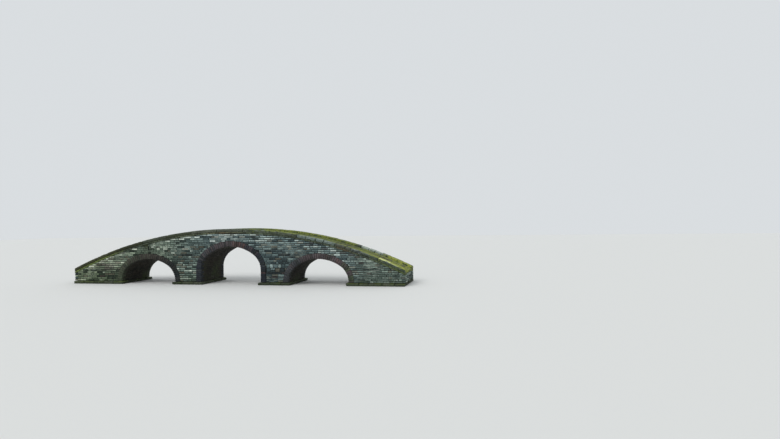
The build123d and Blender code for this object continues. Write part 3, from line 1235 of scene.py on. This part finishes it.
class Graph:
    """Short names for the nodes of a material."""

    def __init__(self, name):
        self.material = bpy.data.materials.new(name)
        self.material.use_nodes = True
        self.tree = self.material.node_tree
        self.surface = self.tree.nodes["Principled BSDF"]
        self.place = self.node("ShaderNodeTexCoord", {}, "Object")

    def link(self, source, socket):
        """Set a socket, or link it, whichever the source calls for."""
        if isinstance(source, (int, float)):
            socket.default_value = source
        elif isinstance(source, tuple):
            socket.default_value = (*source, 1.0)
        else:
            self.tree.links.new(source, socket)

    def node(self, kind, inputs, output, **settings):
        """The output of a new node, with its inputs and settings."""
        node = self.tree.nodes.new(kind)
        for key, value in settings.items():
            setattr(node, key, value)
        for key, source in inputs.items():
            self.link(source, node.inputs[key])
        return node.outputs[output]

    def stretched(self, x, y, z):
        """The place on the bridge, scaled differently each way."""
        place = self.node("ShaderNodeMapping", {"Vector": self.place}, "Vector")
        place.node.inputs["Scale"].default_value = (x, y, z)
        return place

    def noise(self, scale, detail=4.0, roughness=0.6, place=None):
        inputs = {"Vector": place or self.place, "Scale": scale, "Detail": detail, "Roughness": roughness}
        return self.node("ShaderNodeTexNoise", inputs, "Fac")

    def pits(self, scale):
        return self.node("ShaderNodeTexVoronoi", {"Vector": self.place, "Scale": scale}, "Distance")

    def span(self, value, low, high, to_low=0.0, to_high=1.0):
        """A value carried smoothly from one span to another."""
        inputs = {"Value": value, "From Min": low, "From Max": high, "To Min": to_low, "To Max": to_high}
        return self.node("ShaderNodeMapRange", inputs, "Result", interpolation_type="SMOOTHSTEP")

    def spots(self, scale, detail, roughness, *span):
        """Noise carried smoothly from one span to another."""
        return self.span(self.noise(scale, detail, roughness), *span)

    def times(self, first, second, operation="MULTIPLY"):
        return self.node("ShaderNodeMath", {0: first, 1: second}, "Value", operation=operation)

    def plus(self, first, second):
        return self.times(first, second, "ADD")

    def most(self, first, second):
        return self.times(first, second, "MAXIMUM")

    def blend(self, share, first, second, mode="MIX"):
        settings = {"data_type": "RGBA", "blend_type": mode}
        return self.node("ShaderNodeMix", {"Factor": share, "A": first, "B": second}, "Result", **settings)

    def attribute(self, name):
        return self.node("ShaderNodeAttribute", {}, "Color", attribute_name=name)

    def parts(self, vector):
        return self.node("ShaderNodeSeparateXYZ", {0: vector}, "X").node.outputs

    def finish(self, colour, rough_low, rough_high, rough_by, height, bump_strength, bump_distance):
        self.link(colour, self.surface.inputs["Base Color"])
        self.link(self.span(rough_by, 0.3, 0.7, rough_low, rough_high), self.surface.inputs["Roughness"])
        self.link(0.3, self.surface.inputs["Specular IOR Level"])
        inputs = {"Height": height, "Strength": bump_strength, "Distance": bump_distance}
        self.link(self.node("ShaderNodeBump", inputs, "Normal"), self.surface.inputs["Normal"])
        return self.material


def weathered(name, lime_reach=0.8, moss_reach=0.9, side_shade=1.0, grain_scale=46.0, bump=0.7):
    """Brick, stone or mortar in its own colour: dirt, lime, moss on what faces up and damp at its foot, with
    painted shade on what does not face up and a painted sunlit crust where the yellow share passes one.
    """
    graph = Graph(name)
    span, spots, times, blend = graph.span, graph.spots, graph.times, graph.blend
    moss, lime, yellow = graph.parts(graph.attribute("block_growth"))[:3]
    patch = graph.noise(3.1, 5.0)
    grain = graph.noise(grain_scale, 6.0, 0.7)
    normal = graph.node("ShaderNodeNewGeometry", {}, "Normal")
    up = span(graph.parts(normal)["Z"], 0.3, 0.8)

    shade = times(span(patch, 0.3, 0.7, 0.8, 1.18), span(grain, 0.32, 0.68, 0.66, 1.28))
    shade = times(shade, spots(19.0, 5.0, 0.65, 0.34, 0.66, 0.72, 1.22))
    # Painted shade: faces that do not face up are darkened to side_shade
    shade = times(shade, span(up, 0.0, 1.0, side_shade, 1.0))
    colour = blend(1.0, graph.attribute("block_colour"), shade, "MULTIPLY")

    crust = times(spots(13.0, 6.0, 0.7, 0.50, 0.64), span(grain, 0.38, 0.56))
    colour = blend(times(crust, span(lime, 0.1, 1.0, 0.0, lime_reach)), colour, LIME_BLOOM)
    lichen = times(spots(34.0, 6.0, 0.75, 0.60, 0.68, 0.0, 0.6), span(patch, 0.42, 0.6))
    colour = blend(times(lichen, span(lime, 0.0, 0.4)), colour, LICHEN_GREY)
    runs = graph.noise(1.0, 4.0, 0.6, graph.stretched(5.0, 5.0, 0.7))
    colour = blend(span(runs, 0.58, 0.76, 0.0, 0.5), colour, DAMP)

    cover = graph.plus(graph.noise(5.5, 6.0, 0.65), times(moss, 0.6))
    colour = blend(span(cover, 0.68, 1.0, 0.0, 0.55), colour, ALGAE)
    on_top = times(span(cover, 0.78, 0.90), span(up, 0.0, 1.0, 0.0, moss_reach))
    on_top = graph.most(on_top, span(cover, 0.96, 1.12, 0.0, 0.9 * moss_reach))
    tint = blend(spots(2.3, 3.0, 0.6, 0.42, 0.62), MOSS_OLIVE, MOSS_GREEN)
    tint = blend(times(yellow, spots(15.0, 6.0, 0.7, 0.35, 0.65)), tint, MOSS_YELLOW)
    tint = blend(spots(7.0, 6.0, 0.75, 0.52, 0.66, 0.0, 0.6), tint, MOSS_DRY)
    hollow = times(spots(60.0, 5.0, 0.7, 0.36, 0.6, 0.6, 0.0), span(yellow, 0.5, 1.0, 1.0, 0.5))
    tint = blend(hollow, tint, MOSS_DARK)
    # Where the yellow share passes one: a painted sunlit highlight, a bright crust on the moss
    sunlit_crust_share = times(span(yellow, 1.0, 1.5), spots(26.0, 6.0, 0.75, 0.36, 0.52))
    colour = blend(on_top, colour, blend(sunlit_crust_share, tint, SUNLIT_CRUST_HIGHLIGHT))

    height = graph.plus(graph.parts(graph.place)["Z"], times(patch, 0.12))
    colour = blend(span(height, 0.04, 0.22, 0.55, 0.0), colour, WET_GREEN)

    relief = graph.plus(times(grain, 0.9), span(graph.pits(70.0), 0.0, 0.45, 0.0, 0.3))
    tufts = graph.plus(times(graph.noise(85.0, 4.0, 0.7), 2.0), times(graph.noise(14.0, 4.0, 0.6), 3.0))
    relief = graph.plus(relief, times(on_top, tufts))
    return graph.finish(colour, 0.82, 0.98, grain, relief, bump, 0.006)


def rubble_fill():
    """Loose fill: stones of many greys in earth."""
    graph = Graph("rubble_fill_stones")
    stones = graph.pits(9.0)
    colour = graph.blend(graph.span(stones, 0.1, 0.5), COPING_GREY, BROWN_GREY)
    colour = graph.blend(graph.spots(5.0, 4.0, 0.6, 0.4, 0.6), colour, EARTH)
    return graph.finish(colour, 0.85, 0.98, graph.noise(20.0), stones, 0.8, 0.02)


def make_stage():
    """A plain pale floor, a pale sky and a soft lamp at a plain level."""
    mesh = bpy.data.meshes.new("floor")
    corners = oblong(-floor_reach, floor_reach, -floor_reach, floor_reach)
    mesh.from_pydata([(x, y, 0) for x, y in corners], [], [(0, 1, 2, 3)])
    graph = Graph("floor_pale")
    graph.link((0.72, 0.72, 0.7), graph.surface.inputs["Base Color"])
    graph.link(0.9, graph.surface.inputs["Roughness"])
    mesh.materials.append(graph.material)
    new_object("floor", mesh)

    world = bpy.data.worlds.new("sky")
    scene.world = world
    world.use_nodes = True
    sky = world.node_tree.nodes["Background"].inputs
    sky["Color"].default_value = (0.93, 0.97, 1.0, 1)
    sky["Strength"].default_value = sky_strength

    lamp = bpy.data.lights.new("soft_sun", "SUN")
    lamp.energy = sun_energy
    lamp.angle = sun_softness
    new_object("soft_sun", lamp).rotation_euler = sun_turns


def make_camera():
    """The photograph's view: a level camera, turned and rolled a little."""
    data = bpy.data.cameras.new("camera")
    data.sensor_width = sensor_width
    data.lens = focal_pixels / picture_width * sensor_width
    camera = new_object("camera", data)
    eye = Matrix.Translation((eye_along, -eye_before_face - half_width, eye_height))
    level = Matrix.Rotation(camera_turn, 4, "Z") @ Matrix.Rotation(radians(90), 4, "X")
    camera.matrix_world = eye @ level @ Matrix.Rotation(camera_roll, 4, "Z")
    scene.camera = camera


make_camera()
make_stage()
mortar = weathered("old_mortar", lime_reach=0.2, moss_reach=0.6, grain_scale=120.0, bump=0.8)
deck_earth = weathered("mossy_earth", lime_reach=0.0, grain_scale=90.0, bump=0.9)
ring_brick = weathered("ring_brick_face", lime_reach=0.3, moss_reach=0.3, bump=0.5)
soffit_brick = weathered("soffit_brick_face", lime_reach=0.6, moss_reach=0.3, bump=0.6)
build_walls([mortar, weathered("wall_brick_face")])
build_barrels([mortar, ring_brick, soffit_brick])
build_string_courses([mortar, weathered("string_brick_face", lime_reach=0.3, moss_reach=0.5)])
build_coping([mortar, weathered("coping_stone_face", lime_reach=0.5, side_shade=0.78, bump=0.9)])
build_deck([deck_earth, weathered("deck_sett_face", lime_reach=0.2, bump=0.8)])
build_footings([mortar, weathered("footing_stone_face", lime_reach=0.2, side_shade=0.85, bump=0.9)])
core_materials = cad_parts["rubble_core"].data.materials
core_materials.clear()
core_materials.append(rubble_fill())

scene.view_settings.view_transform = "Standard"
